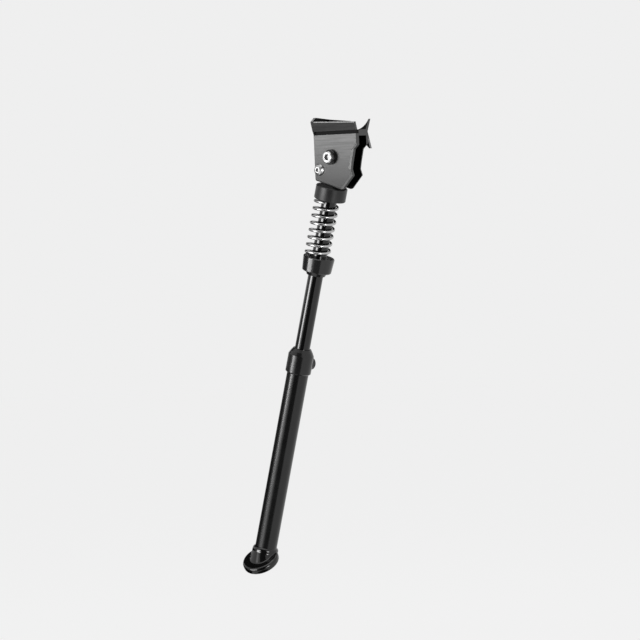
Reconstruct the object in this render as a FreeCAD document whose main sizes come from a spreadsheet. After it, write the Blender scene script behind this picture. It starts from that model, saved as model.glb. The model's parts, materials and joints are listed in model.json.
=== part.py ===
"""Single leg bicycle kickstand with a spring loaded cam collar and a leg of adjustable length.

Millimetres. The origin is the centre of the fixing bolt's hole, on the saddle's floor.
+Z is up, +X is the side the leg folds to, and -Y is the side of the two screw heads.
Pieces of the leg are drawn upright, with the pivot at their own origin, and then leaned.
"""
import FreeCAD, Part
import os
import re
import Sketcher

doc = FreeCAD.newDocument("kickstand")

# Driving dimensions in millimetres and degrees, and the sizes that follow from them as formulas
DIMENSIONS = {
    # Saddle and cheeks of the head, an extruded section cut to length
    "head_length": 37.6,
    "head_depth": 11.9,
    "front_cheek": 3.0,
    "back_cheek": 1.7,
    "web_thickness": 4.0,
    "bolt_hole_d": 8.4,
    "wing_thickness": 1.8,
    "front_wing_height": 6.5,
    "front_wing_fall": 1.2,
    "front_wing_flare": 1.7,
    "front_wing_bevel": 0.7,
    "back_wing_height": 7.7,
    "back_wing_flare": 3.6,
    "back_wing_fall": 2.5,
    "relief_d": 17.2,
    "relief_offset": 10.4,
    "end_stop_height": 9.1,
    "end_stop_fall": 1.4,
    "end_stop_corner": 3.2,
    "end_stop_thickness": 2.0,
    "groove_drop": 0.1,
    "groove_height": 2.4,
    "groove_depth": 0.9,
    "skirt_start": 1.4,
    "skirt_drop": 11.2,
    "skirt_reach": 3.4,
    "skirt_thickness": 1.7,
    "skirt_tip": 0.8,
    "skirt_run": 3.4,
    "skirt_rise": 4.4,
    # Cam outline of the cheeks, as distances from the pivot
    "pivot_inset": 15.6,
    "pivot_offset": "head_length / 2 - pivot_inset",
    "pivot_drop": 17.2,
    "lean_angle": 17.0,
    "fold_angle": 100.0,
    "nose_angle": 60.5,
    "stand_flat": 18.6,
    "nose_flat": 20.9,
    "fold_flat": 16.9,
    "nose_radius": 3.0,
    "toe_out": 1.5,
    "recess_low": -8.5,
    "recess_depth": 0.4,
    "recess_top": -4.0,
    "shoulder_foot": 4.4,
    "shoulder_foot_out": 1.2,
    "shoulder_height": 7.2,
    "heel_radius": 1.5,
    "edge_bevel": 0.9,
    "cut_margin": 1.0,
    # Pivot and stop fasteners
    "fastener_clearance": 0.05,
    "running_clearance": 0.06,
    "pivot_bush_d": 8.0,
    "bush_flange_d": 9.8,
    "bush_flange_height": 2.2,
    "bush_flange_bevel": 0.4,
    "pivot_screw_d": 6.0,
    "pivot_thread_d": 5.0,
    "pivot_head_d": 7.9,
    "pivot_head_height": 2.4,
    "pivot_head_bevel": 0.5,
    "pivot_socket": 4.0,
    "pivot_socket_depth": 1.8,
    "washer_d": 9.0,
    "washer_thickness": 1.0,
    "pivot_nut_flats": 8.0,
    "pivot_nut_height": 4.0,
    "stop_screw_d": 4.0,
    "stop_head_d": 7.8,
    "stop_head_height": 2.2,
    "stop_head_rim": 0.6,
    "stop_dome_d": 6.4,
    "stop_dome_height": 1.6,
    "stop_crown_d": 4.0,
    "stop_socket": 2.5,
    "stop_socket_depth": 1.3,
    "stop_nut_flats": 7.0,
    "stop_nut_height": 3.2,
    "stop_reach": 10.8,
    "stop_gap": 0.15,
    "thread_stub": 1.0,
    # Rod of the upper leg
    "rod_d": 10.0,
    "rod_length": 204.0,
    "rod_bevel": 0.8,
    "tongue_thickness": 5.6,
    "tongue_length": 24.0,
    "blade_width": 12.0,
    "blade_length": 15.0,
    "eye_d": 15.0,
    "eye_gap": 0.15,
    "eye_back": "head_depth / 2 - back_cheek - eye_gap",
    # Cam collar, spring and spring seat, down the rod from the cheeks
    "cam_gap": 0.3,
    "cam_length": 10.1,
    "collar_d": 20.9,
    "cam_crown": 1.0,
    "cam_crown_d": 12.0,
    "collar_edge": 0.5,
    "spring_length": 38.7,
    "spring_d": 17.4,
    "wire_d": 1.8,
    "wire_sides": 6.0,
    "spring_turns": 7.5,
    "spring_gap": 0.1,
    "seat_length": 10.0,
    "seat_low_d": 19.4,
    "neck_d": 14.5,
    "neck_low_d": 12.4,
    "neck_length": 2.4,
    "ring_d": 12.6,
    "ring_thickness": 1.2,
    "ring_groove": 0.7,
    "ring_recess": 1.0,
    # Lower leg, placed by the length that the leg is set to
    "lower_leg_at": 130.2,
    "guide_wall": 1.0,
    "tube_wall": 1.2,
    "tube_d": "rod_d + 2 * guide_wall + 2 * tube_wall",
    "adjuster_wall": 1.3,
    "adjuster_d": "tube_d + 2 * adjuster_wall",
    "adjuster_mouth_d": 12.0,
    "adjuster_bend_d": "adjuster_mouth_d + adjuster_wall * 2",
    "adjuster_bend": 1.9,
    "adjuster_shoulder": 4.2,
    "adjuster_length": 16.7,
    "adjuster_edge": 0.8,
    "tube_insert": 10.0,
    "tube_length": 129.2,
    "guide_length": 14.0,
    "end_guide_length": 9.0,
    "slide_clearance": 0.08,
    "lock_screw_d": 5.0,
    "lock_head_d": 8.5,
    "lock_head_height": 3.2,
    "lock_socket": 3.0,
    "lock_socket_depth": 1.6,
    "lock_tip_gap": 0.15,
    "lock_drop": 10.5,
    # Foot, a plug with a tilted round pad
    "plug_length": 16.0,
    "plug_bevel": 0.8,
    "pad_d": 24.4,
    "pad_thickness": 4.6,
    "pad_tilt": 39.0,
    "pad_turn": 16.0,
    "pad_shift": 6.6,
    "pad_drop": 7.2,
    "pad_rim": 1.8,
    "boot_base_d": 19.6,
    "boot_sink": 1.0,
    "sole_rim": 1.2,
}

sheet = doc.addObject("Spreadsheet::Sheet", "Dims")
for row, (alias, value) in enumerate(DIMENSIONS.items(), start=1):
    sheet.set("A%d" % row, alias)
    sheet.set("B%d" % row, "=%s" % value)
    sheet.setAlias("B%d" % row, alias)
doc.recompute()

ALIAS = re.compile(r"\b(" + "|".join(sorted(DIMENSIONS, key=len, reverse=True)) + r")\b")
SUBPARTS = []


def formula(words):
    """A sheet formula written with bare names, as an expression that any object can use."""
    return ALIAS.sub(r"Dims.\1", words)


def number(words):
    """The present value of such a formula."""
    return float(sheet.evalExpression(formula(words)))


def bind(obj, prop, words):
    """Tie a property of an object to the sheet."""
    obj.setExpression(prop, formula(words))


def new_body(label):
    """A body that becomes one sub-part."""
    body = doc.addObject("PartDesign::Body", label)
    body.Label = label
    SUBPARTS.append(body)
    return body


def place(obj, base, axis, degrees):
    """Place an object by three formulas and a turn about an axis, also a formula."""
    start = FreeCAD.Vector(*[number(words) for words in base])
    obj.Placement = FreeCAD.Placement(start, FreeCAD.Rotation(FreeCAD.Vector(*axis), number(degrees)))
    for letter, words in zip("xyz", base):
        bind(obj, "Placement.Base." + letter, words)
    bind(obj, "Placement.Rotation.Angle", "(%s) * 1 deg" % degrees)


PIVOT = ("-pivot_offset", "0", "-pivot_drop")


def lean(obj):
    """Hang a piece that was drawn upright on the pivot, leaned as the leg stands."""
    place(obj, PIVOT, (0, 1, 0), "lean_angle")


def new_sketch(body, name, plane, away="0"):
    """A sketch on one of the body's own planes, moved along the plane's normal by a formula."""
    sketch = body.newObject("Sketcher::SketchObject", name)
    for feature in body.Origin.OriginFeatures:
        if feature.Role == plane:
            sketch.AttachmentSupport = (feature, "")
    sketch.MapMode = "FlatFace"
    sketch.AttachmentOffset = FreeCAD.Placement(FreeCAD.Vector(0, 0, number(away)), FreeCAD.Rotation())
    bind(sketch, "AttachmentOffset.Base.z", away)
    return sketch


def draw_outline(sketch, corners):
    """A closed outline of straight sides, each corner given by two formulas from the origin."""
    points = [FreeCAD.Vector(number(across), number(up), 0) for across, up in corners]
    first = len(sketch.Geometry)
    count = len(points)
    for i in range(count):
        sketch.addGeometry(Part.LineSegment(points[i], points[(i + 1) % count]), False)
    for i in range(count):
        following = first + (i + 1) % count
        sketch.addConstraint(Sketcher.Constraint("Coincident", first + i, 2, following, 1))
    for i, (across, up) in enumerate(corners):
        pair = (("DistanceX", across, points[i].x), ("DistanceY", up, points[i].y))
        for kind, words, length in pair:
            index = sketch.addConstraint(Sketcher.Constraint(kind, -1, 1, first + i, 1, length))
            bind(sketch, "Constraints[%d]" % index, words)


def draw_circle(sketch, across, up, diameter):
    """A circle given by its centre and diameter."""
    centre = FreeCAD.Vector(number(across), number(up), 0)
    normal = FreeCAD.Vector(0, 0, 1)
    circle = sketch.addGeometry(Part.Circle(centre, normal, number(diameter) / 2), False)
    rows = (
        (Sketcher.Constraint("DistanceX", -1, 1, circle, 3, centre.x), across),
        (Sketcher.Constraint("DistanceY", -1, 1, circle, 3, centre.y), up),
        (Sketcher.Constraint("Diameter", circle, number(diameter)), diameter),
    )
    for constraint, words in rows:
        index = sketch.addConstraint(constraint)
        bind(sketch, "Constraints[%d]" % index, words)


def hexagon(across_flats):
    """Corners of a hexagon about the origin, two of its flats level."""
    radius = "(%s) / sqrt(3)" % across_flats
    turns = [60 * side for side in range(6)]
    return [("%s * cos(%d deg)" % (radius, turn), "%s * sin(%d deg)" % (radius, turn)) for turn in turns]


def revolve(body, name, corners):
    """Turn an outline of radius and height about the body's own Z axis."""
    sketch = new_sketch(body, name + "_sketch", "XZ_Plane")
    draw_outline(sketch, corners)
    turned = body.newObject("PartDesign::Revolution", name)
    turned.Profile = sketch
    turned.ReferenceAxis = (sketch, ["V_Axis"])
    turned.Angle = 360
    doc.recompute()
    return turned


def pad(body, name, sketch, length, midplane=False, reverse=False):
    """Add material along a sketch's normal."""
    feature = body.newObject("PartDesign::Pad", name)
    feature.Profile = sketch
    bind(feature, "Length", length)
    feature.Midplane = midplane
    feature.Reversed = reverse
    doc.recompute()
    return feature


def pocket(body, name, sketch, length, midplane=False, reverse=False):
    """Remove material against a sketch's normal, and make sure that some was removed."""
    before = body.Shape.Volume
    feature = body.newObject("PartDesign::Pocket", name)
    feature.Profile = sketch
    bind(feature, "Length", length)
    feature.Midplane = midplane
    feature.Reversed = reverse
    doc.recompute()
    if not body.Shape.Volume < before:
        raise RuntimeError("%s cuts nothing" % name)
    return feature


def dress(body, kind, name, chosen, size_property, size):
    """Fillet or chamfer the edges of the body's present shape that a test picks."""
    base = body.Tip
    edges = ["Edge%d" % (i + 1) for i, edge in enumerate(base.Shape.Edges) if chosen(edge)]
    if not edges:
        raise RuntimeError("%s finds no edge" % name)
    feature = body.newObject(kind, name)
    feature.Base = (base, edges)
    bind(feature, size_property, size)
    doc.recompute()
    return feature


def fillet(body, name, chosen, radius):
    return dress(body, "PartDesign::Fillet", name, chosen, "Radius", radius)


def chamfer(body, name, chosen, size):
    return dress(body, "PartDesign::Chamfer", name, chosen, "Size", size)


def near(first, second, room=1e-4):
    return abs(first - second) < room


def runs_along_y(edge, x, z):
    """True for an edge parallel to Y through the given point of the XZ plane."""
    ends = [vertex.Point for vertex in edge.Vertexes]
    return len(ends) == 2 and all(near(end.x, x) and near(end.z, z) for end in ends)


def ring_edge(edge, radius, height):
    """True for a circle about the body's own Z axis."""
    curve = edge.Curve
    if not isinstance(curve, Part.Circle):
        return False
    centred = near(curve.Center.x, 0) and near(curve.Center.y, 0)
    return centred and near(curve.Radius, radius) and near(curve.Center.z, height)


# Head

STAND_TURN = "(-lean_angle)"
NOSE_TURN = "(nose_angle - lean_angle)"
FOLD_TURN = "(fold_angle - lean_angle)"


def meet(turn, reach, next_turn, next_reach):
    """Where two sides of the cam outline meet, from the head's origin.

    Each side is given by the turn of its normal from straight down and its distance from the pivot.
    """
    spread = "sin((%s - %s) * 1 deg)" % (next_turn, turn)
    rule = "(%s * %%s(%s * 1 deg) - %s * %%s(%s * 1 deg)) / %s"
    share = rule % (next_reach, turn, reach, next_turn, spread)
    across = share % ("cos", "cos")
    up = share % ("sin", "sin")
    return "-pivot_offset + " + across, "-pivot_drop + " + up


def build_head():
    body = new_body("head")
    half = "head_depth / 2"
    low = "-pivot_drop - stand_flat - nose_flat"

    # Extruded section: two wings, floor, two cheeks, a shadow groove in front and a skirt behind
    section = new_sketch(body, "section", "YZ_Plane")
    draw_outline(section, [
        ("-" + half, low),
        ("-" + half, "-groove_drop - groove_height"),
        ("-%s + groove_depth" % half, "-groove_drop - groove_height"),
        ("-%s + groove_depth" % half, "-groove_drop"),
        ("-" + half, "-groove_drop"),
        ("-%s - front_wing_flare" % half, "front_wing_height"),
        ("-%s - front_wing_flare + wing_thickness" % half, "front_wing_height"),
        ("-%s + wing_thickness" % half, "0"),
        ("%s - wing_thickness" % half, "0"),
        ("%s + back_wing_flare - wing_thickness" % half, "back_wing_height"),
        ("%s + back_wing_flare" % half, "back_wing_height"),
        (half, "-skirt_start"),
        ("%s + skirt_reach" % half, "-skirt_start - skirt_drop"),
        ("%s + skirt_reach - skirt_thickness" % half, "-skirt_start - skirt_drop"),
        (half, "-skirt_start - skirt_thickness * skirt_drop / skirt_reach"),
        (half, low),
        (half + " - back_cheek", low),
        (half + " - back_cheek", "-web_thickness"),
        ("-%s + front_cheek" % half, "-web_thickness"),
        ("-%s + front_cheek" % half, low),
    ])
    pad(body, "extrusion", section, "head_length", midplane=True)

    # Stop across the saddle's closed end, its front corner cut off
    stop = new_sketch(body, "end_stop_sketch", "YZ_Plane", "-head_length / 2")
    front_tip = "-%s - front_wing_flare" % half
    back_tip = "%s + back_wing_flare" % half
    draw_outline(stop, [
        ("-%s + wing_thickness / 2" % half, "-web_thickness / 2"),
        (front_tip, "front_wing_height"),
        ("%s + end_stop_corner" % front_tip, "end_stop_height"),
        (back_tip, "end_stop_height - end_stop_fall"),
        ("%s - wing_thickness / 2" % half, "-web_thickness / 2"),
    ])
    pad(body, "end_stop", stop, "end_stop_thickness")

    # The front wing's rim falls towards the open end
    fall = new_sketch(body, "wing_fall_sketch", "XZ_Plane")
    draw_outline(fall, [
        ("-head_length / 2 + end_stop_thickness", "front_wing_height"),
        ("head_length / 2", "front_wing_height - front_wing_fall"),
        ("head_length / 2", "2 * front_wing_height"),
        ("-head_length / 2 + end_stop_thickness", "2 * front_wing_height"),
    ])
    pocket(body, "wing_fall", fall, "head_depth", reverse=True)

    def front_rim(edge):
        points = [vertex.Point for vertex in edge.Vertexes]
        inside = number(front_tip) + number("wing_thickness") / 2
        above = number("front_wing_height - 2 * front_wing_fall")
        return all(point.y < inside and point.z > above for point in points) and edge.Length > number(half)

    chamfer(body, "front_rim_bevel", front_rim, "front_wing_bevel")

    # The back wing's rim falls into a round relief, which leaves a horn at the open end
    dip = new_sketch(body, "back_wing_fall_sketch", "XZ_Plane")
    draw_outline(dip, [
        ("-head_length / 2 + end_stop_thickness", "end_stop_height - end_stop_fall"),
        ("relief_offset", "end_stop_height - end_stop_fall - back_wing_fall"),
        ("relief_offset", "2 * back_wing_height"),
        ("-head_length / 2 + end_stop_thickness", "2 * back_wing_height"),
    ])
    pocket(body, "back_wing_fall", dip, "head_depth")
    relief = new_sketch(body, "relief_sketch", "XZ_Plane")
    draw_circle(relief, "relief_offset", "relief_d / 2", "relief_d")
    pocket(body, "relief", relief, "head_depth")

    # The skirt is cut short, except for a fang at the open end
    skirt_low = "-skirt_start - skirt_drop"
    fang = new_sketch(body, "fang_sketch", "XZ_Plane", "-" + half)
    draw_outline(fang, [
        ("head_length / 2 - skirt_tip", skirt_low),
        ("head_length / 2 - skirt_tip - skirt_run", skirt_low + " + skirt_rise"),
        ("-head_length", skirt_low + " + skirt_rise"),
        ("-head_length", skirt_low + " - cut_margin"),
        ("head_length / 2 - skirt_tip", skirt_low + " - cut_margin"),
    ])
    pocket(body, "fang", fang, "skirt_reach + cut_margin")

    # Cheeks cut to the cam outline
    margin = "head_length"
    nose = meet(STAND_TURN, "stand_flat", NOSE_TURN, "nose_flat")
    toe = meet(NOSE_TURN, "nose_flat", FOLD_TURN, "(fold_flat + toe_out)")
    left = "-head_length / 2"
    heel_rise = "((%s + pivot_offset) * sin(%s * 1 deg) - stand_flat) / cos(%s * 1 deg)" % (
        "%s", STAND_TURN, STAND_TURN)
    shoulder = "-pivot_drop + shoulder_height"
    on_fold_flat = "-pivot_offset + (fold_flat + %%s * cos(%s * 1 deg)) / sin(%s * 1 deg)" % (
        FOLD_TURN, FOLD_TURN)
    outline = new_sketch(body, "cam_sketch", "XZ_Plane")
    draw_outline(outline, [
        (left + " - " + margin, "-pivot_drop + " + heel_rise % ("(%s - %s)" % (left, margin))),
        nose,
        toe,
        (on_fold_flat % "recess_low" + " - recess_depth", "-pivot_drop + recess_low"),
        (on_fold_flat % "recess_top", "-pivot_drop + recess_top"),
        (on_fold_flat % "shoulder_foot" + " + shoulder_foot_out", "-pivot_drop + shoulder_foot"),
        ("head_length / 2", shoulder),
        ("head_length", shoulder),
        ("head_length", low + " - cut_margin"),
        (left + " - " + margin, low + " - cut_margin"),
    ])
    pocket(body, "cam_cut", outline, "head_depth", midplane=True)
    heel = (left, "-pivot_drop + " + heel_rise % ("(%s)" % left))
    nose_at = [number(words) for words in nose]
    heel_at = [number(words) for words in heel]
    fillet(body, "nose_round", lambda edge: runs_along_y(edge, *nose_at), "nose_radius")
    fillet(body, "heel_round", lambda edge: runs_along_y(edge, *heel_at), "heel_radius")

    # Holes for the pivot's bush, the stop screw and the fixing bolt
    holes = new_sketch(body, "cross_holes_sketch", "XZ_Plane")
    draw_circle(holes, "-pivot_offset", "-pivot_drop", "pivot_bush_d + 2 * fastener_clearance")
    stop_x, stop_z = stop_centre()
    draw_circle(holes, stop_x, stop_z, "stop_screw_d + 2 * fastener_clearance")
    pocket(body, "cross_holes", holes, "head_depth + 2 * skirt_reach", midplane=True)
    bolt = new_sketch(body, "bolt_hole_sketch", "XY_Plane")
    draw_circle(bolt, "0", "0", "bolt_hole_d")
    pocket(body, "bolt_hole", bolt, "web_thickness")

    # Bevel round the cheeks' outer outline
    outer = number(half)
    rim = number(shoulder)

    def outline_edge(edge):
        points = [vertex.Point for vertex in edge.Vertexes]
        if len(points) != 2:
            return False
        on_face = all(near(abs(point.y), outer) for point in points)
        below = all(point.z < rim - 1e-3 or near(point.z, rim) for point in points)
        level = near(points[0].z, rim) and near(points[1].z, rim)
        return on_face and below and not level and not near(points[0].y, -points[1].y)

    chamfer(body, "cheek_bevel", outline_edge, "edge_bevel")
    return body


def stop_centre():
    """The stop screw's place in the head: beside the blade, some way down the leg."""
    aside = "(blade_width / 2 + stop_screw_d / 2 + stop_gap)"
    across = "-pivot_offset - %s * cos(lean_angle * 1 deg) - stop_reach * sin(lean_angle * 1 deg)" % aside
    up = "-pivot_drop + %s * sin(lean_angle * 1 deg) - stop_reach * cos(lean_angle * 1 deg)" % aside
    return across, up


# Fasteners lie along Y: drawn upright, with the front face at half the head's depth

FRONT = "head_depth / 2"
BACK = "-head_depth / 2"


def lay_forward(obj, across, up):
    place(obj, (across, "0", up), (1, 0, 0), "90")


def lay_back(obj, across, out, up):
    place(obj, (across, out, up), (1, 0, 0), "-90")


def cut_socket(body, name, across_flats, depth, top):
    """Hexagon socket sunk into a screw's head from the given height."""
    sketch = new_sketch(body, name + "_sketch", "XY_Plane", top)
    draw_outline(sketch, hexagon(across_flats))
    pocket(body, name, sketch, depth)


def build_pivot_bush():
    body = new_body("pivot_bush")
    bore = "pivot_screw_d / 2 + fastener_clearance"
    top = FRONT + " + bush_flange_height"
    revolve(body, "sleeve", [
        (bore, BACK),
        ("pivot_bush_d / 2", BACK),
        ("pivot_bush_d / 2", FRONT),
        ("bush_flange_d / 2", FRONT),
        ("bush_flange_d / 2", top + " - bush_flange_bevel"),
        ("bush_flange_d / 2 - bush_flange_bevel", top),
        (bore, top),
    ])
    lay_forward(body, PIVOT[0], PIVOT[2])


def build_pivot_screw():
    body = new_body("pivot_screw")
    seat = FRONT + " + bush_flange_height"
    top = seat + " + pivot_head_height"
    tip = BACK + " - washer_thickness - pivot_nut_height - thread_stub"
    revolve(body, "shank", [
        ("0", tip),
        ("pivot_thread_d / 2 - pivot_head_bevel", tip),
        ("pivot_thread_d / 2", tip + " + pivot_head_bevel"),
        ("pivot_thread_d / 2", BACK),
        ("pivot_screw_d / 2", BACK),
        ("pivot_screw_d / 2", seat),
        ("pivot_head_d / 2", seat),
        ("pivot_head_d / 2", top + " - pivot_head_bevel"),
        ("pivot_head_d / 2 - pivot_head_bevel", top),
        ("0", top),
    ])
    cut_socket(body, "socket", "pivot_socket", "pivot_socket_depth", top)
    lay_forward(body, PIVOT[0], PIVOT[2])


def build_pivot_washer():
    body = new_body("pivot_washer")
    sketch = new_sketch(body, "face", "XY_Plane")
    draw_circle(sketch, "0", "0", "washer_d")
    draw_circle(sketch, "0", "0", "pivot_thread_d + 2 * fastener_clearance")
    pad(body, "disc", sketch, "washer_thickness")
    lay_back(body, PIVOT[0], FRONT, PIVOT[2])


def build_nut(label, across_flats, bore, height, across, out, up):
    """Hexagon nut against the back of the head, its outer corners turned off."""
    body = new_body(label)
    sketch = new_sketch(body, "face", "XY_Plane")
    draw_outline(sketch, hexagon(across_flats))
    draw_circle(sketch, "0", "0", bore)
    pad(body, "hexagon", sketch, height)
    beyond = "(%s / sqrt(3) + cut_margin)" % across_flats
    crown = new_sketch(body, "crown_sketch", "XZ_Plane")
    draw_outline(crown, [
        ("%s / 2" % across_flats, height),
        (beyond, "%s - (%s - %s / 2) / 2" % (height, beyond, across_flats)),
        (beyond, height),
    ])
    before = body.Shape.Volume
    turned = body.newObject("PartDesign::Groove", "crown")
    turned.Profile = crown
    turned.ReferenceAxis = (crown, ["V_Axis"])
    turned.Angle = 360
    doc.recompute()
    if not body.Shape.Volume < before:
        raise RuntimeError("%s crown cuts nothing" % label)
    lay_back(body, across, out, up)


def build_stop_screw():
    body = new_body("stop_screw")
    top = FRONT + " + stop_head_height"
    tip = BACK + " - stop_nut_height - thread_stub"
    revolve(body, "shank", [
        ("0", tip),
        ("stop_screw_d / 2", tip),
        ("stop_screw_d / 2", FRONT),
        ("stop_head_d / 2", FRONT),
        ("stop_head_d / 2", FRONT + " + stop_head_rim"),
        ("stop_dome_d / 2", FRONT + " + stop_dome_height"),
        ("stop_crown_d / 2", top),
        ("0", top),
    ])
    cut_socket(body, "socket", "stop_socket", "stop_socket_depth", top)
    lay_forward(body, *stop_centre())


# Upper leg

CAM_TOP = "(stand_flat + cam_gap)"
CAM_END = "(%s + cam_length)" % CAM_TOP
SEAT_TOP = "(%s + spring_length)" % CAM_END
SEAT_END = "(%s + seat_length)" % SEAT_TOP
NECK_END = "(%s + neck_length)" % SEAT_END
RING_TOP = "(%s - ring_recess - ring_thickness)" % NECK_END


def build_leg_rod():
    body = new_body("leg_rod")
    rod = "rod_d / 2"
    groove = rod + " - ring_groove"
    ring_end = "(%s + ring_thickness)" % RING_TOP
    revolve(body, "rod", [
        ("0", "0"),
        (rod, "0"),
        (rod, "-" + RING_TOP),
        (groove, "-" + RING_TOP),
        (groove, "-" + ring_end),
        (rod, "-" + ring_end),
        (rod, "-rod_length + rod_bevel"),
        (rod + " - rod_bevel", "-rod_length"),
        ("0", "-rod_length"),
    ])

    # The top of the rod is milled flat on two sides, and carries a wider blade and an eye
    flats = new_sketch(body, "tongue_sketch", "XY_Plane")
    side = "tongue_thickness / 2"
    for near_side, far_side in ((side, "rod_d"), ("-" + side, "-rod_d")):
        draw_outline(flats, [
            ("-rod_d", near_side), ("rod_d", near_side), ("rod_d", far_side), ("-rod_d", far_side)])
    pocket(body, "tongue", flats, "tongue_length")
    blade = new_sketch(body, "blade_sketch", "XZ_Plane")
    edge = "blade_width / 2"
    draw_outline(blade, [
        ("-" + edge, "-blade_length"), (edge, "-blade_length"), (edge, "0"), ("-" + edge, "0")])
    pad(body, "blade", blade, "tongue_thickness", midplane=True)
    eye = new_sketch(body, "eye_sketch", "XZ_Plane", "-eye_back")
    draw_circle(eye, "0", "0", "eye_d")
    pad(body, "eye", eye, "eye_back + tongue_thickness / 2")
    bore = new_sketch(body, "eye_bore_sketch", "XZ_Plane")
    draw_circle(bore, "0", "0", "pivot_bush_d + 2 * running_clearance")
    pocket(body, "eye_bore", bore, "2 * tongue_thickness", midplane=True)
    lean(body)


def build_cam_collar():
    body = new_body("cam_collar")
    bore = "rod_d / 2 + running_clearance"
    outer = "collar_d / 2"
    revolve(body, "sleeve", [
        (bore, "-" + CAM_END),
        (outer + " - collar_edge", "-" + CAM_END),
        (outer, "-%s + collar_edge" % CAM_END),
        (outer, "-%s - cam_crown - collar_edge" % CAM_TOP),
        (outer + " - collar_edge", "-%s - cam_crown" % CAM_TOP),
        ("cam_crown_d / 2", "-" + CAM_TOP),
        (bore, "-" + CAM_TOP),
    ])
    lean(body)


def build_leg_spring():
    """Open coil between the cam collar and its seat, its wire given as many sides as the sheet says."""
    helix = doc.addObject("Part::Helix", "spring_line")
    free = "(spring_length - wire_d - 2 * spring_gap)"
    bind(helix, "Radius", "(spring_d - wire_d) / 2")
    bind(helix, "Height", free)
    bind(helix, "Pitch", "%s / spring_turns" % free)
    bottom = "-%s + wire_d / 2 + spring_gap" % SEAT_TOP
    place(helix, ("0", "0", bottom), (0, 0, 1), "0")
    wire = doc.addObject("Part::RegularPolygon", "spring_wire")
    bind(wire, "Polygon", "wire_sides")
    bind(wire, "Circumradius", "wire_d / 2")
    place(wire, ("(spring_d - wire_d) / 2", "0", bottom), (1, 0, 0), "90")
    doc.recompute()
    spring = doc.addObject("Part::Sweep", "leg_spring")
    spring.Label = "leg_spring"
    spring.Sections = [wire]
    spring.Spine = (helix, ["Edge1"])
    spring.Solid = True
    spring.Frenet = True
    doc.recompute()
    lean(spring)
    SUBPARTS.append(spring)


def build_spring_seat():
    body = new_body("spring_seat")
    bore = "rod_d / 2 + fastener_clearance"
    outer = "collar_d / 2"
    low = "seat_low_d / 2"
    recess = "ring_d / 2 + fastener_clearance"
    revolve(body, "sleeve", [
        (bore, "-" + SEAT_TOP),
        (outer + " - collar_edge", "-" + SEAT_TOP),
        (outer, "-%s - collar_edge" % SEAT_TOP),
        (low, "-%s + collar_edge" % SEAT_END),
        (low + " - collar_edge", "-" + SEAT_END),
        ("neck_d / 2", "-" + SEAT_END),
        ("neck_low_d / 2", "-" + NECK_END),
        (bore, "-" + NECK_END),
    ])
    cavity = new_sketch(body, "ring_seat_sketch", "XZ_Plane")
    ring_end = "(%s + ring_thickness)" % RING_TOP
    draw_outline(cavity, [
        (bore + " - cut_margin", "-" + RING_TOP),
        (recess, "-" + RING_TOP),
        (recess, "-" + ring_end),
        (bore + " - cut_margin", "-" + ring_end),
    ])
    before = body.Shape.Volume
    turned = body.newObject("PartDesign::Groove", "ring_seat")
    turned.Profile = cavity
    turned.ReferenceAxis = (cavity, ["V_Axis"])
    turned.Angle = 360
    doc.recompute()
    if not body.Shape.Volume < before:
        raise RuntimeError("ring_seat cuts nothing")
    lean(body)


def build_seat_ring():
    body = new_body("seat_ring")
    sketch = new_sketch(body, "face", "XY_Plane", "-%s - ring_thickness" % RING_TOP)
    draw_circle(sketch, "0", "0", "ring_d")
    draw_circle(sketch, "0", "0", "rod_d - 2 * ring_groove")
    pad(body, "ring", sketch, "ring_thickness")
    lean(body)


def build_end_guide():
    """Bush pinned on the rod's lower end, which runs inside the tube."""
    body = new_body("rod_end_guide")
    outer = "tube_d / 2 - tube_wall - slide_clearance"
    top = "-rod_length + rod_bevel + end_guide_length"
    revolve(body, "bush", [
        ("rod_d / 2", "-rod_length + rod_bevel"),
        (outer, "-rod_length + rod_bevel"),
        (outer, top),
        ("rod_d / 2", top),
    ])
    lean(body)


# Lower leg

TUBE_TOP = "(lower_leg_at + adjuster_length - tube_insert)"
TUBE_END = "(%s + tube_length)" % TUBE_TOP
LOCK_AT = "(lower_leg_at + lock_drop)"


def drill_lock_hole(body, diameter):
    """Cross hole for the lock screw, through the back of a sleeve only."""
    sketch = new_sketch(body, "lock_hole_sketch", "XZ_Plane")
    draw_circle(sketch, "0", "-" + LOCK_AT, diameter)
    pocket(body, "lock_hole", sketch, "adjuster_d")


def build_adjuster_collar():
    body = new_body("adjuster_collar")
    bore = "rod_d / 2 + slide_clearance"
    outer = "adjuster_d / 2"
    socket = "tube_d / 2 + fastener_clearance"
    end = "(lower_leg_at + adjuster_length)"
    revolve(body, "sleeve", [
        (bore, "-lower_leg_at"),
        ("adjuster_mouth_d / 2", "-lower_leg_at"),
        ("adjuster_bend_d / 2", "-lower_leg_at - adjuster_bend"),
        (outer, "-lower_leg_at - adjuster_shoulder"),
        (outer, "-%s + adjuster_edge" % end),
        (outer + " - adjuster_edge", "-" + end),
        (socket, "-" + end),
        (socket, "-" + TUBE_TOP),
        (bore, "-" + TUBE_TOP),
    ])
    drill_lock_hole(body, "lock_screw_d + 2 * fastener_clearance")
    lean(body)


def build_lower_tube():
    body = new_body("lower_tube")
    inner = "tube_d / 2 - tube_wall"
    revolve(body, "wall", [
        (inner, "-" + TUBE_END),
        ("tube_d / 2", "-" + TUBE_END),
        ("tube_d / 2", "-" + TUBE_TOP),
        (inner, "-" + TUBE_TOP),
    ])
    drill_lock_hole(body, "lock_screw_d + 2 * fastener_clearance")
    lean(body)


def build_rod_guide():
    body = new_body("rod_guide")
    bore = "rod_d / 2 + slide_clearance"
    outer = "tube_d / 2 - tube_wall"
    low = "-%s - guide_length" % TUBE_TOP
    revolve(body, "bush", [
        (bore, low),
        (outer, low),
        (outer, "-" + TUBE_TOP),
        (bore, "-" + TUBE_TOP),
    ])
    drill_lock_hole(body, "lock_screw_d + 2 * fastener_clearance")
    lean(body)


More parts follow.
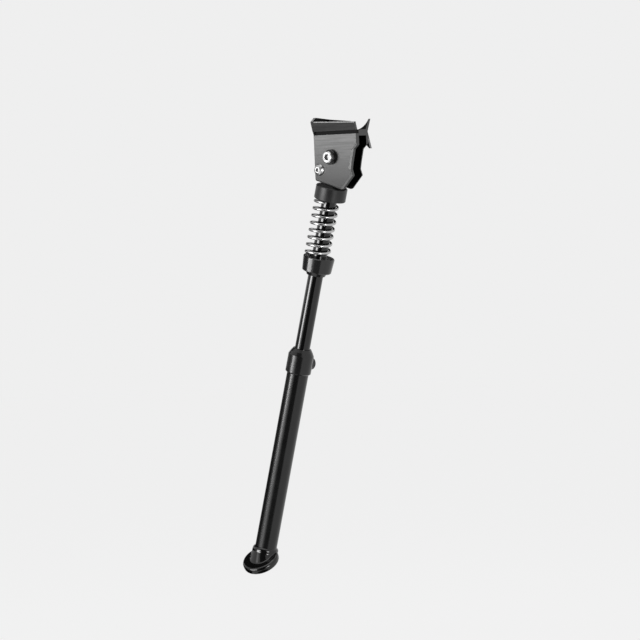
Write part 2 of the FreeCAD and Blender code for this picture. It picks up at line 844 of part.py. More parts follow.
def build_lock_screw():
    """Screw at the back of the adjuster collar, its tip just off the rod."""
    body = new_body("lock_screw")
    tip = "rod_d / 2 + lock_tip_gap"
    seat = "adjuster_d / 2"
    top = "%s + lock_head_height" % seat
    revolve(body, "shank", [
        ("0", tip),
        ("lock_screw_d / 2", tip),
        ("lock_screw_d / 2", seat),
        ("lock_head_d / 2", seat),
        ("lock_head_d / 2", top + " - pivot_head_bevel"),
        ("lock_head_d / 2 - pivot_head_bevel", top),
        ("0", top),
    ])
    cut_socket(body, "socket", "lock_socket", "lock_socket_depth", top)
    across = "-pivot_offset - %s * sin(lean_angle * 1 deg)" % LOCK_AT
    up = "-pivot_drop - %s * cos(lean_angle * 1 deg)" % LOCK_AT
    lay_back(body, across, "0", up)


def foot_placed(obj, away):
    """Place a piece on the pad's own axes, moved along the pad's normal."""
    reach = "(%s + pad_drop)" % TUBE_END
    outward = "(pad_shift + (%s) * sin(pad_tilt * 1 deg))" % away
    across = "-pivot_offset - %s * sin(lean_angle * 1 deg) + %s * sin(pad_turn * 1 deg)" % (reach, outward)
    out = "-%s * cos(pad_turn * 1 deg)" % outward
    up = "-pivot_drop - %s * cos(lean_angle * 1 deg) + (%s) * cos(pad_tilt * 1 deg)" % (reach, away)
    axis = (number("cos(pad_turn * 1 deg)"), number("sin(pad_turn * 1 deg)"), 0)
    place(obj, (across, out, up), axis, "pad_tilt")
    bind(obj, "Placement.Rotation.Axis.x", "cos(pad_turn * 1 deg)")
    bind(obj, "Placement.Rotation.Axis.y", "sin(pad_turn * 1 deg)")


def build_foot():
    """Plug in the tube, a boot below it and a round pad that is tilted to the front, moulded as one."""
    plug = doc.addObject("PartDesign::Body", "foot_plug")
    inner = "tube_d / 2 - tube_wall"
    plug_top = "-%s + plug_length" % TUBE_END
    plug_end = "-%s - boot_sink" % TUBE_END
    revolve(plug, "plug", [
        ("0", plug_end),
        (inner, plug_end),
        (inner, plug_top + " - plug_bevel"),
        (inner + " - plug_bevel", plug_top),
        ("0", plug_top),
    ])
    lean(plug)

    # The boot runs from the tube's round end to a larger circle, sunk a little into the pad
    mouth = doc.addObject("Part::Circle", "boot_mouth")
    bind(mouth, "Radius", "tube_d / 2")
    across = "-pivot_offset - %s * sin(lean_angle * 1 deg)" % TUBE_END
    up = "-pivot_drop - %s * cos(lean_angle * 1 deg)" % TUBE_END
    place(mouth, (across, "0", up), (0, 1, 0), "lean_angle")
    base = doc.addObject("Part::Circle", "boot_base")
    bind(base, "Radius", "boot_base_d / 2")
    foot_placed(base, "-boot_sink")
    boot = doc.addObject("Part::Loft", "foot_boot")
    boot.Sections = [mouth, base]
    boot.Solid = True
    boot.Ruled = True

    disc = doc.addObject("PartDesign::Body", "foot_pad")
    half = "pad_d / 2"
    revolve(disc, "disc", [
        ("0", "-pad_thickness"),
        (half, "-pad_thickness"),
        (half, "0"),
        ("0", "0"),
    ])
    radius = number(half)
    sole = number("-pad_thickness")
    fillet(disc, "rim", lambda edge: ring_edge(edge, radius, 0), "pad_rim")
    fillet(disc, "sole_rim", lambda edge: ring_edge(edge, radius, sole), "sole_rim")
    foot_placed(disc, "0")
    joined = doc.addObject("Part::MultiFuse", "foot_joined")
    joined.Shapes = [plug, boot, disc]
    doc.recompute()
    joined.Label = "foot"
    SUBPARTS.append(joined)


build_head()
build_pivot_bush()
build_pivot_screw()
build_pivot_washer()
build_nut("pivot_nut", "pivot_nut_flats", "pivot_thread_d + 2 * fastener_clearance", "pivot_nut_height",
          PIVOT[0], FRONT + " + washer_thickness", PIVOT[2])
build_stop_screw()
build_nut("stop_nut", "stop_nut_flats", "stop_screw_d + 2 * fastener_clearance", "stop_nut_height",
          stop_centre()[0], FRONT, stop_centre()[1])
build_leg_rod()
build_cam_collar()
build_leg_spring()
build_spring_seat()
build_seat_ring()
build_end_guide()
build_adjuster_collar()
build_lower_tube()
build_rod_guide()
build_lock_screw()
build_foot()
doc.recompute()

for obj in doc.Objects:
    if "Invalid" in obj.State or "Error" in obj.State:
        raise RuntimeError("%s failed: %s" % (obj.Label, obj.State))
for part in SUBPARTS:
    if part.Shape.isNull() or not part.Shape.isValid() or len(part.Shape.Solids) != 1:
        raise RuntimeError("%s isn't one valid solid" % part.Label)

os.makedirs("parts", exist_ok=True)
for part in SUBPARTS:
    part.Shape.exportStep("parts/%s.step" % part.Label)
    print(part.Label, round(part.Shape.Volume, 1), len(part.Shape.Solids))
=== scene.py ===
import json
import math

import bmesh
import bpy
from mathutils import Matrix, Vector


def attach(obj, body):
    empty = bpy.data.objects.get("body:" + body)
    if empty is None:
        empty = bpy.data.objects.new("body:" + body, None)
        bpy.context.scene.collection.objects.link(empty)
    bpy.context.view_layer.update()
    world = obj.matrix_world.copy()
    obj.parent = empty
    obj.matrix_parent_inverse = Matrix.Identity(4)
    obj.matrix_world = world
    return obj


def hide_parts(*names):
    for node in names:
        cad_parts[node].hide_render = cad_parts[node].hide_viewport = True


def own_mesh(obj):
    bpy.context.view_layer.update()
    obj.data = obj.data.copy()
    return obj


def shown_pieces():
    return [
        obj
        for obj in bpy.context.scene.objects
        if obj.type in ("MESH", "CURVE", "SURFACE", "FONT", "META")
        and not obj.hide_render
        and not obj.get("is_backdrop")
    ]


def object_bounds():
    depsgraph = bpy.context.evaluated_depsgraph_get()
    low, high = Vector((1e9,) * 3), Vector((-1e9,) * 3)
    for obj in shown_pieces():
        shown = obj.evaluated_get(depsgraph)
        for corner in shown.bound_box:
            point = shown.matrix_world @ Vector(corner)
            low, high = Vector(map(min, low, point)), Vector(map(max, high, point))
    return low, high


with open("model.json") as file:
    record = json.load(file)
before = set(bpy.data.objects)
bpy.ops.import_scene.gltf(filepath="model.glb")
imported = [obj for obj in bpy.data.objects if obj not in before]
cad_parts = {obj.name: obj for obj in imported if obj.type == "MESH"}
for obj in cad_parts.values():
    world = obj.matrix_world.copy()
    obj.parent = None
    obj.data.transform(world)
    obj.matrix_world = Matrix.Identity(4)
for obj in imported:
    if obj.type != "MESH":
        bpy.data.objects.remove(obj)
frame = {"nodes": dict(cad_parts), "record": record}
cad_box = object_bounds()

# Camera, read from the photograph: far off, about level, turned to the folding side and slightly rolled
CAMERA_AZIMUTH = math.radians(41.66)
CAMERA_ELEVATION = math.radians(0.39)
CAMERA_ROLL = math.radians(-2.48)
CAMERA_DISTANCE = 6.0
CAMERA_TARGET = Vector((-0.03151, 0.00770, -0.12351))
PHOTO_SIZE = 640
FOCAL_PIXELS = 9127.7
SENSOR_WIDTH = 36.0
CAMERA_REACH = 100.0

# Studio: even fill, five softboxes, and four dark cards that only reflections see
BACKGROUND = 0.863
PALE = (BACKGROUND, BACKGROUND, BACKGROUND, 1.0)
WHITE = (1.0, 1.0, 1.0, 1.0)
FILL_STRENGTH = 0.35
FLOOR_DROP = 0.045
FLOOR_RADIUS = 12.0
FLOOR_SIDES = 96
FLOOR_ROUGHNESS = 0.9
FLOOR_GLOW_SHARE = 0.88
FLOOR_GLOW = 1.088
SOFTBOXES = {
    "tall_softbox": {
        "azimuth": -18.0, "elevation": -3.0, "distance": 1.3,
        "width": 0.4, "height": 1.7, "roll": 0.0, "radiance": 1.4,
    },
    "key_softbox": {
        "azimuth": -18.0, "elevation": -1.5, "distance": 1.3,
        "width": 0.8, "height": 0.24, "roll": 0.0, "radiance": 14.0,
    },
    "low_softbox": {
        "azimuth": -26.0, "elevation": -10.4, "distance": 2.6,
        "width": 1.6, "height": 0.2, "roll": -16.0, "radiance": 13.0,
    },
    "overhead_softbox": {
        "azimuth": 0.0, "elevation": 85.0, "distance": 2.0,
        "width": 2.0, "height": 2.0, "roll": 0.0, "radiance": 0.9,
    },
    "side_softbox": {
        "azimuth": 66.0, "elevation": -4.0, "distance": 1.3,
        "width": 0.35, "height": 0.35, "roll": 0.0, "radiance": 15.0,
    },
}
# Softboxes that stand close to the floor light the object alone, and the low one only the spring seat
LINKED = {"tall_softbox": None, "key_softbox": None, "side_softbox": None, "low_softbox": ("spring_seat",)}
CARDS = {
    "front_card": {
        "azimuth": 30.0, "elevation": 0.0, "distance": 1.1,
        "width": 1.06, "height": 2.4, "roll": 0.0,
    },
    "top_card": {
        "azimuth": -125.0, "elevation": 50.0, "distance": 0.9,
        "width": 1.3, "height": 0.95, "roll": 0.0,
    },
    "left_card": {
        "azimuth": -80.0, "elevation": -24.0, "distance": 1.1,
        "width": 1.3, "height": 1.2, "roll": 0.0,
    },
    "low_card": {
        "azimuth": 83.0, "elevation": -80.0, "distance": 0.75,
        "width": 0.5, "height": 0.5, "roll": 0.0,
    },
}
# Each card starts as a square of one metre, given by half its side
HALF_UNIT = 0.5

# Leg and foot mount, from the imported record
mounts = {mount["name"]: mount for mount in frame["record"]["mounts"]}
joints = {joint["name"]: joint for joint in frame["record"]["behaviour"]["joints"]}
PIVOT = Vector(joints["leg_swing"]["pos_m"])
DOWN_LEG = Vector(joints["collar_slide"]["axis"]).normalized()

# Spring, as the solid that it stands for, but leaning a little to one side of the rod
SPRING_TOP = 0.0290
SPRING_END = 0.0677
SPRING_OUTER = 0.0174
SPRING_GAP = 0.0001
WIRE_D = 0.0018
SPRING_TURNS = 7.5
SPRING_START = math.radians(130.0)
SPRING_SHIFT = (-0.0012, -0.0010)
STEPS_PER_TURN = 48
WIRE_SIDES = 16

# Foot: the pad and plug of the solid that it stands for, with a slimmer boot and a round bead
TUBE_END = 0.2661
PAD_NORMAL = -Vector(mounts["foot_sole"]["axis"]).normalized()
SOLE_CENTRE = Vector(mounts["foot_sole"]["pos_m"])
PAD_RADIUS = 0.0122
PAD_THICKNESS = 0.0046
PAD_RIM = 0.0018
SOLE_RIM = 0.0010
BOOT_RADIUS = 0.0074
BOOT_SINK = 0.0009
BOOT_START = 0.0030
BEAD_RADIUS = 0.0087
BEAD_ROUND = 0.0026
BEAD_RISE = 0.0006
BEAD_DEPTH = 0.0056
PLUG_ROUND = 0.0009
PLUG_RADIUS = 0.0059
PLUG_LENGTH = 0.0160
FOOT_VOXEL = 0.00026
FOOT_SMOOTHING = 32
ROUND_STEPS = 6
TURNED_SIDES = 128

# Noise behind the finishes, with the depth and strength of its bump
EVEN = (1.0, 1.0, 1.0)
CLOUD_SCALE = 60.0
GRAIN_DETAIL = 2.0
GRAIN_STRENGTH = 0.4
HAZE_SCALE = 420.0
HAZE_DEPTH = 0.00004
HAZE_STRENGTH = 0.25
CARD_WEAVE = 40.0
CARD_TONES = (0.0, 0.004)

# Head's brushed streaks, which run along X
ALLOY_METALLIC = 0.85
ALLOY_ROUGHNESS = (0.34, 0.5)
STREAK_STRETCH = (60.0, 2600.0, 2600.0)
STREAK_DETAIL = 4.0
STREAK_DEPTH = 0.00003
STREAK_STRENGTH = 0.35
STREAK_SHARE = (0.0, 0.6)
STREAK_SPAN = (0.2, 0.8)

# Head's tones, from its anodised ground to its bare edges, with painted highlights and painted shade
GROUND_TONES = (0.028, 0.046)
# cheeks painted from darker at the bottom to lighter at the top, as painted light
PLATE_TONES_WITH_PAINTED_LIGHT = (0.04, 0.165)
PLATE_STREAK_TONE = 0.075
END_TONE = 0.09
# bevels: bare metal with a painted highlight
BEVEL_BARE_AND_HIGHLIGHT_TONE = 0.26
# painted highlight on the front wing's upper edge
WING_EDGE_PAINTED_HIGHLIGHT_TONE = 0.62
SKIRT_TONE = 0.2
# painted shade in the groove and in the slot
GROOVE_PAINTED_SHADE_TONE = 0.002
SLOT_PAINTED_SHADE_TONE = 0.004

# Where those tones lie on the head
# heights over which the cheeks are painted lighter, as painted light
PLATE_PAINTED_LIGHT_SPAN = (-0.038, -0.004)
PLATE_TOP = -0.0024
END_WALL = -0.01
WING_EDGE = 0.003
SKIRT_BACK = 0.0060
SKIRT_TOP = -0.0060
GROOVE_TOP = -0.0001
GROOVE_BOTTOM = -0.00252
GROOVE_FRONT = -0.003
SLOT_REACH = 0.002
CEILING_TOP = -0.0035
CEILING_BOTTOM = -0.0045

# How squarely a face looks along an axis, as its normal's share of that axis
SQUARE = 0.9
ENDWAYS = 0.7
SIDEWAYS = 0.5
INWARD = 0.3
SLOPING = 0.25


def new_material(name):
    """A material with its own node tree: returns it with its nodes, its links and its shader."""
    material = bpy.data.materials.new(name)
    material.use_nodes = True
    nodes = material.node_tree.nodes
    return material, nodes, material.node_tree.links, nodes["Principled BSDF"]


def object_coordinates(nodes, links, scale):
    """Object coordinates stretched by three numbers, one for each axis."""
    place = nodes.new("ShaderNodeTexCoord")
    stretch = nodes.new("ShaderNodeMapping")
    stretch.inputs["Scale"].default_value = scale
    links.new(place.outputs["Object"], stretch.inputs["Vector"])
    return stretch.outputs["Vector"]


def feed(links, socket, value):
    """Set a socket to a number, or link another socket to it."""
    if isinstance(value, float):
        socket.default_value = value
    else:
        links.new(value, socket)


def noise(nodes, links, vector, scale, detail=3.0):
    """A noise between 0 and 1."""
    texture = nodes.new("ShaderNodeTexNoise")
    texture.inputs["Scale"].default_value = scale
    texture.inputs["Detail"].default_value = detail
    links.new(vector, texture.inputs["Vector"])
    return texture.outputs["Fac"]


def spread(nodes, links, value, low, high, start=0.3, end=0.7):
    """Map a factor to a range of numbers."""
    mapped = nodes.new("ShaderNodeMapRange")
    mapped.inputs["From Min"].default_value = start
    mapped.inputs["From Max"].default_value = end
    mapped.inputs["To Min"].default_value = low
    mapped.inputs["To Max"].default_value = high
    links.new(value, mapped.inputs["Value"])
    return mapped.outputs["Result"]


def blend(nodes, links, factor, first, second):
    """Mix two greys, each a number or a socket, by a factor."""
    mix = nodes.new("ShaderNodeMix")
    links.new(factor, mix.inputs["Factor"])
    feed(links, mix.inputs["A"], first)
    feed(links, mix.inputs["B"], second)
    return mix.outputs["Result"]


def as_colour(nodes, links, grey):
    """One grey number as a colour."""
    colour = nodes.new("ShaderNodeCombineColor")
    for channel in ("Red", "Green", "Blue"):
        links.new(grey, colour.inputs[channel])
    return colour.outputs["Color"]


def bump(nodes, links, height, distance, strength, shader):
    """Raise a shader's surface by a height."""
    node = nodes.new("ShaderNodeBump")
    node.inputs["Distance"].default_value = distance
    node.inputs["Strength"].default_value = strength
    links.new(height, node.inputs["Height"])
    links.new(node.outputs["Normal"], shader.inputs["Normal"])


def maths(nodes, links, operation, first, second):
    """One operation on a socket and a second value, which is a number or a socket."""
    node = nodes.new("ShaderNodeMath")
    node.operation = operation
    links.new(first, node.inputs[0])
    feed(links, node.inputs[1], second)
    return node.outputs["Value"]


def black_finish(name, greys, roughness, specular, grain, grain_depth):
    """Black paint or plastic with a faint cloud of tone and a fine grain."""
    material, nodes, links, shader = new_material(name)
    shader.inputs["Specular IOR Level"].default_value = specular
    vector = object_coordinates(nodes, links, EVEN)
    cloud = noise(nodes, links, vector, CLOUD_SCALE)
    tone = spread(nodes, links, cloud, *greys)
    links.new(as_colour(nodes, links, tone), shader.inputs["Base Color"])
    links.new(spread(nodes, links, cloud, *roughness), shader.inputs["Roughness"])
    height = noise(nodes, links, vector, grain, GRAIN_DETAIL)
    bump(nodes, links, height, grain_depth, GRAIN_STRENGTH, shader)
    return material


def bright_steel(name, greys, roughness):
    """Zinc plated steel with a faint cloudy haze."""
    material, nodes, links, shader = new_material(name)
    shader.inputs["Metallic"].default_value = 1.0
    vector = object_coordinates(nodes, links, EVEN)
    haze = noise(nodes, links, vector, HAZE_SCALE)
    tone = spread(nodes, links, haze, *greys)
    links.new(as_colour(nodes, links, tone), shader.inputs["Base Color"])
    links.new(spread(nodes, links, haze, *roughness), shader.inputs["Roughness"])
    bump(nodes, links, haze, HAZE_DEPTH, HAZE_STRENGTH, shader)
    return material


def brushed_alloy():
    """Black anodised alloy: outer cheeks brushed light and painted lighter towards the top as painted light,
    bevels bare with a painted highlight, a painted highlight on the front wing's upper edge, and painted
    shade in the groove and the slot.
    """
    material, nodes, links, shader = new_material("black_brushed_alloy")
    shader.inputs["Metallic"].default_value = ALLOY_METALLIC
    stretched = object_coordinates(nodes, links, STREAK_STRETCH)
    streaks = noise(nodes, links, stretched, 1.0, STREAK_DETAIL)
    coordinates = nodes.new("ShaderNodeTexCoord")
    place = nodes.new("ShaderNodeSeparateXYZ")
    links.new(coordinates.outputs["Object"], place.inputs["Vector"])
    normal = nodes.new("ShaderNodeSeparateXYZ")
    links.new(coordinates.outputs["Normal"], normal.inputs["Vector"])

    def where(*tests):
        """1 where every test holds, each an axis of the place or the normal, a sign and a limit."""
        mask = None
        for source, axis, sign, limit in tests:
            operation = "GREATER_THAN" if sign == ">" else "LESS_THAN"
            test = maths(nodes, links, operation, source.outputs[axis], limit)
            mask = test if mask is None else maths(nodes, links, "MULTIPLY", mask, test)
        return mask

    # Brushed cheeks on a darker anodised ground, painted lighter towards the top: painted light from above
    painted_light_plate = spread(nodes, links, place.outputs["Z"], *PLATE_TONES_WITH_PAINTED_LIGHT, *PLATE_PAINTED_LIGHT_SPAN)
    share = spread(nodes, links, streaks, *STREAK_SHARE, *STREAK_SPAN)
    plate = blend(nodes, links, share, painted_light_plate, PLATE_STREAK_TONE)
    tone = spread(nodes, links, streaks, *GROUND_TONES)

    # End face on the folding side, and painted shade on the inside of the wall at the other end
    end_face = (normal, "X", ">", ENDWAYS)
    layers = [
        (where(end_face, (place, "X", ">", 0.0)), END_TONE),
        (where(end_face, (place, "X", "<", END_WALL), (place, "Z", ">", 0.0)), SLOT_PAINTED_SHADE_TONE),
    ]
    # Front and back cheek, each a brushed plate with bare bevels that also carry a painted highlight
    below_groove = (place, "Z", "<", PLATE_TOP)
    for beyond, within, way in (("<", ">", -1.0), (">", "<", 1.0)):
        side = (normal, "Y", beyond, way * SIDEWAYS)
        layers.append((where(below_groove, side), plate))
        layers.append((where(below_groove, side, (normal, "Y", within, way * SQUARE)), BEVEL_BARE_AND_HIGHLIGHT_TONE))
    # Painted highlight on the upper edge of the front wing, and the skirt at the back painted a lighter grey
    sloping = ((normal, "Y", "<", -SLOPING), (normal, "Z", ">", SLOPING))
    layers.append((where((place, "Z", ">", WING_EDGE), *sloping), WING_EDGE_PAINTED_HIGHLIGHT_TONE))
    layers.append((where((place, "Y", ">", SKIRT_BACK), (place, "Z", "<", SKIRT_TOP)), SKIRT_TONE))
    # Painted shade in the groove under the front wing, and on the sides and ceiling of the slot
    groove = ((place, "Z", "<", GROOVE_TOP), (place, "Z", ">", GROOVE_BOTTOM))
    layers.append((where(*groove, (place, "Y", "<", GROOVE_FRONT)), GROOVE_PAINTED_SHADE_TONE))
    layers.append((where((place, "Y", ">", -SLOT_REACH), (normal, "Y", "<", -INWARD)), SLOT_PAINTED_SHADE_TONE))
    layers.append((where((place, "Y", "<", SLOT_REACH), (normal, "Y", ">", INWARD)), SLOT_PAINTED_SHADE_TONE))
    ceiling = ((place, "Z", "<", CEILING_TOP), (place, "Z", ">", CEILING_BOTTOM))
    layers.append((where(*ceiling, (normal, "Z", "<", -SQUARE)), SLOT_PAINTED_SHADE_TONE))

    for mask, layer in layers:
        tone = blend(nodes, links, mask, tone, layer)
    links.new(as_colour(nodes, links, tone), shader.inputs["Base Color"])
    links.new(spread(nodes, links, streaks, *ALLOY_ROUGHNESS), shader.inputs["Roughness"])
    bump(nodes, links, streaks, STREAK_DEPTH, STREAK_STRENGTH, shader)
    return material


# Black finishes give their greys, roughness, specular level, and the scale and depth of the grain
# Steels give their greys and roughness
MATERIALS = {
    "black_brushed_alloy": brushed_alloy(),
    "black_bush": black_finish("black_bush", (0.006, 0.010), (0.18, 0.3), 0.4, 900.0, 0.000008),
    "zinc_steel": bright_steel("zinc_steel", (0.4, 0.54), (0.28, 0.4)),
    "spring_steel": bright_steel("spring_steel", (0.42, 0.55), (0.18, 0.3)),
    "gloss_black_rod": black_finish("gloss_black_rod", (0.003, 0.005), (0.09, 0.13), 0.5, 700.0, 0.000002),
    "satin_black_tube": black_finish("satin_black_tube", (0.005, 0.008), (0.17, 0.22), 0.45, 900.0, 0.000003),
    "black_collar": black_finish("black_collar", (0.008, 0.012), (0.18, 0.24), 0.45, 1400.0, 0.000004),
    "gloss_black_foot": black_finish("gloss_black_foot", (0.003, 0.005), (0.07, 0.11), 0.5, 300.0, 0.000004),
}
# Nodes that share a slot but not a finish: a duller cam collar, a polished seat and a blackened screw
OWN_FINISH = {
    "cam_collar": black_finish("black_collar_dull", (0.014, 0.020), (0.34, 0.44), 0.35, 1400.0, 0.00001),
    "spring_seat": black_finish("black_collar_polished", (0.010, 0.014), (0.13, 0.17), 0.5, 1400.0, 0.000001),
    "lock_screw": black_finish("blackened_steel", (0.012, 0.018), (0.3, 0.4), 0.45, 900.0, 0.000008),
}


def paint(obj, material):
    """Give an object one material on every face."""
    obj.data.materials.clear()
    obj.data.materials.append(material)


def dress_nodes():
    """Each carried-over solid takes the material of its slot, or a finish of its own."""
    for row in frame["record"]["subparts"]:
        node = row["node"]
        paint(frame["nodes"][node], OWN_FINISH.get(node, MATERIALS[row["material_slot"]]))


def as_data(mesh, name):
    """Turn a mesh under construction into mesh data."""
    data = bpy.data.meshes.new(name)
    mesh.to_mesh(data)
    mesh.free()
    return data


def add_object(name, data):
    """Add an object to the scene."""
    obj = bpy.data.objects.new(name, data)
    bpy.context.scene.collection.objects.link(obj)
    return obj


def add_piece(name, data, slot, body, node):
    """A mesh as a piece of the scene, which rides on a body and stands for a solid."""
    obj = add_object(name, data)
    paint(obj, MATERIALS[slot])
    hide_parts(node)
    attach(obj, body)
    return obj


def leg_frame():
    """Axes square to the leg: across it towards the folding side, towards the back, and up it."""
    up = -DOWN_LEG
    back = Vector((0.0, 1.0, 0.0))
    across = back.cross(up).normalized()
    return across, back, up


def tube_along(path, radius, sides):
    """A closed round tube along points, each given with the way out of the coil and its tangent."""
    mesh = bmesh.new()
    rings = []
    for point, outward, tangent in path:
        side = tangent.cross(outward).normalized()
        ring = []
        for k in range(sides):
            turn = 2 * math.pi * k / sides
            ring.append(mesh.verts.new(point + radius * (math.cos(turn) * outward + math.sin(turn) * side)))
        rings.append(ring)
    for ring, following in zip(rings, rings[1:]):
        for k in range(sides):
            after = (k + 1) % sides
            mesh.faces.new((ring[k], ring[after], following[after], following[k]))
    mesh.faces.new(list(reversed(rings[0])))
    mesh.faces.new(rings[-1])
    bmesh.ops.recalc_face_normals(mesh, faces=mesh.faces)
    for face in mesh.faces:
        face.smooth = len(face.verts) == 4
    return mesh


def build_spring():
    """Round wire coil between the cam collar and its seat."""
    across, back, up = leg_frame()
    radius = (SPRING_OUTER - WIRE_D) / 2
    height = SPRING_END - SPRING_TOP - WIRE_D - 2 * SPRING_GAP
    bottom = PIVOT + DOWN_LEG * (SPRING_END - SPRING_GAP - WIRE_D / 2)
    bottom = bottom + SPRING_SHIFT[0] * across + SPRING_SHIFT[1] * back
    path = []
    steps = int(SPRING_TURNS * STEPS_PER_TURN)
    for i in range(steps + 1):
        turn = SPRING_START + 2 * math.pi * i / STEPS_PER_TURN
        outward = math.cos(turn) * across + math.sin(turn) * back
        along = -math.sin(turn) * across + math.cos(turn) * back
        tangent = (2 * math.pi * SPRING_TURNS * radius * along + height * up).normalized()
        path.append((bottom + radius * outward + up * (height * i / steps), outward, tangent))
    mesh = tube_along(path, WIRE_D / 2, WIRE_SIDES)
    data = as_data(mesh, "coil_spring")
    spring = add_piece("coil_spring", data, "spring_steel", "upper_leg", "leg_spring")
    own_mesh(spring)


def rounded_corner(radius, height, size, upper):
    """Points of a rounded outer corner of a turned outline, from the side to the face or back."""
    points = []
    for i in range(ROUND_STEPS + 1):
        turn = math.pi / 2 * i / ROUND_STEPS
        if upper:
            points.append((radius - size + size * math.cos(turn), height - size + size * math.sin(turn)))
        else:
            points.append((radius - size + size * math.sin(turn), height + size - size * math.cos(turn)))
    return points


def circle_points(centre, axis, radius):
    """Points round a circle that is square to an axis."""
    axes = axis.to_track_quat("Z", "Y").to_matrix()
    turns = [2 * math.pi * k / TURNED_SIDES for k in range(TURNED_SIDES)]
    return [centre + radius * (axes @ Vector((math.cos(turn), math.sin(turn), 0.0))) for turn in turns]


def turn_solid(mesh, outline, place, axis):
    """Add a closed solid turned about an axis, from its lower face to its upper one."""
    rings = []
    for radius, height in outline:
        points = circle_points(place + axis * height, axis, radius)
        rings.append([mesh.verts.new(point) for point in points])
    for ring, following in zip(rings, rings[1:]):
        for k in range(TURNED_SIDES):
            after = (k + 1) % TURNED_SIDES
            mesh.faces.new((ring[k], ring[after], following[after], following[k]))
    mesh.faces.new(list(reversed(rings[0])))
    mesh.faces.new(rings[-1])


def cut_below(mesh, place, normal):
    """Cut every solid of a mesh off below a plane and close it."""
    everything = mesh.verts[:] + mesh.edges[:] + mesh.faces[:]
    bmesh.ops.bisect_plane(mesh, geom=everything, plane_co=place, plane_no=normal, clear_inner=True)
    bmesh.ops.holes_fill(mesh, edges=[edge for edge in mesh.edges if edge.is_boundary], sides=0)


def build_foot():
    """Plug, round bead, boot and tilted pad, run together into one moulded skin."""
    mesh = bmesh.new()
    mouth = PIVOT + DOWN_LEG * TUBE_END
    # The boot runs from the bead to a circle in the pad's upper face
    rings = (
        (mouth + DOWN_LEG * BOOT_START, -DOWN_LEG, BEAD_RADIUS),
        (SOLE_CENTRE + PAD_NORMAL * (PAD_THICKNESS - BOOT_SINK), PAD_NORMAL, BOOT_RADIUS),
    )
    corners = [mesh.verts.new(point) for ring in rings for point in circle_points(*ring)]
    bmesh.ops.convex_hull(mesh, input=corners)
    bead = rounded_corner(BEAD_RADIUS, -BEAD_DEPTH, BEAD_ROUND, False)
    bead = bead + rounded_corner(BEAD_RADIUS, BEAD_RISE, BEAD_ROUND, True)
    turn_solid(mesh, bead, mouth, -DOWN_LEG)
    cut_below(mesh, SOLE_CENTRE + PAD_NORMAL * SOLE_RIM, PAD_NORMAL)
    plug = [(PLUG_RADIUS, -PLUG_ROUND)] + rounded_corner(PLUG_RADIUS, PLUG_LENGTH, PLUG_ROUND, True)
    turn_solid(mesh, plug, mouth, -DOWN_LEG)
    pad = rounded_corner(PAD_RADIUS, 0.0, SOLE_RIM, False)
    pad = pad + rounded_corner(PAD_RADIUS, PAD_THICKNESS, PAD_RIM, True)
    turn_solid(mesh, pad, SOLE_CENTRE, PAD_NORMAL)

    model = add_object("foot_rough", as_data(mesh, "foot_rough"))
    remesh = model.modifiers.new("join", "REMESH")
    remesh.mode = "VOXEL"
    remesh.voxel_size = FOOT_VOXEL
    remesh.use_smooth_shade = True
    soften = model.modifiers.new("soften", "SMOOTH")
    soften.iterations = FOOT_SMOOTHING
    bpy.context.view_layer.update()
    shaped = model.evaluated_get(bpy.context.evaluated_depsgraph_get())
    skin = bpy.data.meshes.new_from_object(shaped)
    skin.name = "moulded_foot"
    bpy.data.objects.remove(model)
    add_piece("moulded_foot", skin, "gloss_black_foot", "lower_leg", "foot")


def direction(azimuth, elevation):
    """From the object towards a place seen at an azimuth, where 0 is in front, and an elevation."""
    level = math.cos(elevation)
    return Vector((math.sin(azimuth) * level, -math.cos(azimuth) * level, math.sin(elevation)))


def look_at(obj, place, target, roll=0.0):
    """Put an object at a place with its own -Z towards the target."""
    forward = (target - place).normalized()
    right = forward.cross(Vector((0.0, 0.0, 1.0))).normalized()
    up = right.cross(forward)
    turned_right = math.cos(roll) * right + math.sin(roll) * up
    turned_up = math.cos(roll) * up - math.sin(roll) * right
    axes = Matrix((turned_right, turned_up, -forward)).transposed().to_4x4()
    obj.matrix_world = Matrix.Translation(place) @ axes


def build_camera():
    """Camera at the photograph's viewing angle and framing."""
    data = bpy.data.cameras.new("camera")
    data.sensor_width = SENSOR_WIDTH
    data.lens = FOCAL_PIXELS / PHOTO_SIZE * SENSOR_WIDTH
    data.clip_end = CAMERA_REACH
    camera = add_object("camera", data)
    place = CAMERA_TARGET + CAMERA_DISTANCE * direction(CAMERA_AZIMUTH, CAMERA_ELEVATION)
    look_at(camera, place, CAMERA_TARGET, CAMERA_ROLL)
    bpy.context.scene.camera = camera


def seen_directly(nodes, links):
    """1 for rays that show the background: from the camera, by reflection or through glass."""
    path = nodes.new("ShaderNodeLightPath")
    mirrored = maths(nodes, links, "MAXIMUM", path.outputs["Is Camera Ray"], path.outputs["Is Glossy Ray"])
    return maths(nodes, links, "MAXIMUM", mirrored, path.outputs["Is Transmission Ray"])


def build_world():
    """Pale background for the eye and for reflections, and an even fill for all other light."""
    world = bpy.data.worlds.new("studio")
    world.use_nodes = True
    nodes = world.node_tree.nodes
    links = world.node_tree.links
    fill = nodes["Background"]
    fill.inputs["Color"].default_value = WHITE
    fill.inputs["Strength"].default_value = FILL_STRENGTH
    pale = nodes.new("ShaderNodeBackground")
    pale.inputs["Color"].default_value = PALE
    pale.inputs["Strength"].default_value = 1.0
    mix = nodes.new("ShaderNodeMixShader")
    links.new(seen_directly(nodes, links), mix.inputs["Fac"])
    links.new(fill.outputs["Background"], mix.inputs[1])
    links.new(pale.outputs["Background"], mix.inputs[2])
    links.new(mix.outputs["Shader"], nodes["World Output"].inputs["Surface"])
    bpy.context.scene.world = world


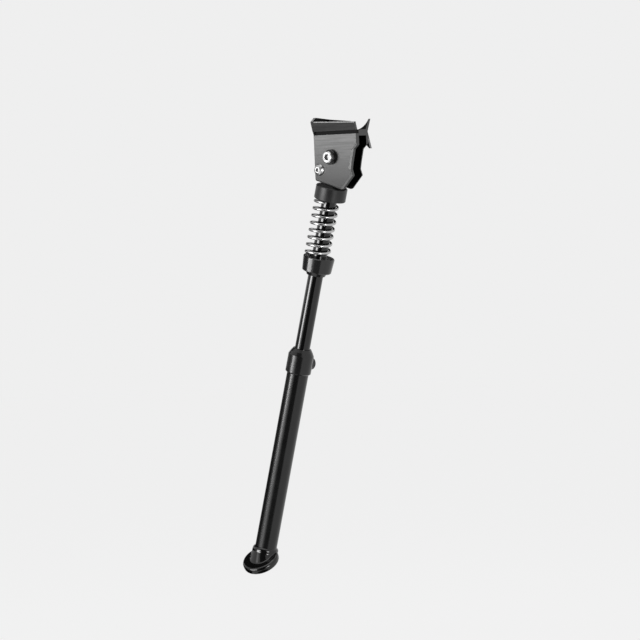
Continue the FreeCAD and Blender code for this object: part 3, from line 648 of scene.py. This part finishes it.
def build_floor():
    """Pale floor well below the foot, which glows for the camera and still takes a faint shadow."""
    mesh = bmesh.new()
    bmesh.ops.create_circle(mesh, cap_ends=True, segments=FLOOR_SIDES, radius=FLOOR_RADIUS)
    floor = add_object("floor", as_data(mesh, "floor"))
    floor.location = (0.0, 0.0, cad_box[0][2] - FLOOR_DROP)
    material, nodes, links, shader = new_material("pale_floor")
    shader.inputs["Roughness"].default_value = FLOOR_ROUGHNESS
    shader.inputs["Specular IOR Level"].default_value = 0.0
    shader.inputs["Base Color"].default_value = PALE
    glow = nodes.new("ShaderNodeEmission")
    glow.inputs["Color"].default_value = PALE
    glow.inputs["Strength"].default_value = FLOOR_GLOW
    share = maths(nodes, links, "MULTIPLY", seen_directly(nodes, links), FLOOR_GLOW_SHARE)
    mix = nodes.new("ShaderNodeMixShader")
    links.new(share, mix.inputs["Fac"])
    links.new(shader.outputs["BSDF"], mix.inputs[1])
    links.new(glow.outputs["Emission"], mix.inputs[2])
    links.new(mix.outputs["Shader"], nodes["Material Output"].inputs["Surface"])
    paint(floor, material)
    # Reflections see the world instead, which has the same tone, and the cards and lights below the floor
    floor.visible_glossy = False
    floor.visible_shadow = False
    floor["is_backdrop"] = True


def set_up(obj, row):
    """Put a light or card where its row says, turned towards the object."""
    way = direction(math.radians(row["azimuth"]), math.radians(row["elevation"]))
    look_at(obj, CAMERA_TARGET + row["distance"] * way, CAMERA_TARGET, math.radians(row["roll"]))


def build_lights():
    """Softboxes round the object, some of which light only a few pieces."""
    for name, row in SOFTBOXES.items():
        data = bpy.data.lights.new(name, "AREA")
        data.shape = "RECTANGLE"
        data.size = row["width"]
        data.size_y = row["height"]
        data.energy = row["radiance"] * math.pi * row["width"] * row["height"]
        light = add_object(name, data)
        light.visible_camera = False
        set_up(light, row)
        if name in LINKED:
            lit = bpy.data.collections.new("lit_by_" + name)
            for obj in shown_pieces():
                if LINKED[name] is None or obj.name in LINKED[name]:
                    lit.objects.link(obj)
            light.light_linking.receiver_collection = lit


def build_cards():
    """Dark cards, as a studio has them: only reflections see them."""
    material, nodes, links, shader = new_material("card_cloth")
    shader.inputs["Specular IOR Level"].default_value = 0.0
    vector = object_coordinates(nodes, links, EVEN)
    tone = spread(nodes, links, noise(nodes, links, vector, CARD_WEAVE), *CARD_TONES)
    links.new(as_colour(nodes, links, tone), shader.inputs["Base Color"])
    for name, row in CARDS.items():
        mesh = bmesh.new()
        bmesh.ops.create_grid(mesh, x_segments=1, y_segments=1, size=HALF_UNIT)
        card = add_object(name, as_data(mesh, name))
        set_up(card, row)
        card.matrix_world = card.matrix_world @ Matrix.Diagonal((row["width"], row["height"], 1.0, 1.0))
        card.visible_camera = False
        card.visible_diffuse = False
        card.visible_shadow = False
        card.visible_transmission = False
        paint(card, material)
        card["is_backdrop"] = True


dress_nodes()
build_spring()
build_foot()
build_camera()
build_world()
build_floor()
build_lights()
build_cards()
bpy.context.scene.view_settings.view_transform = "Standard"
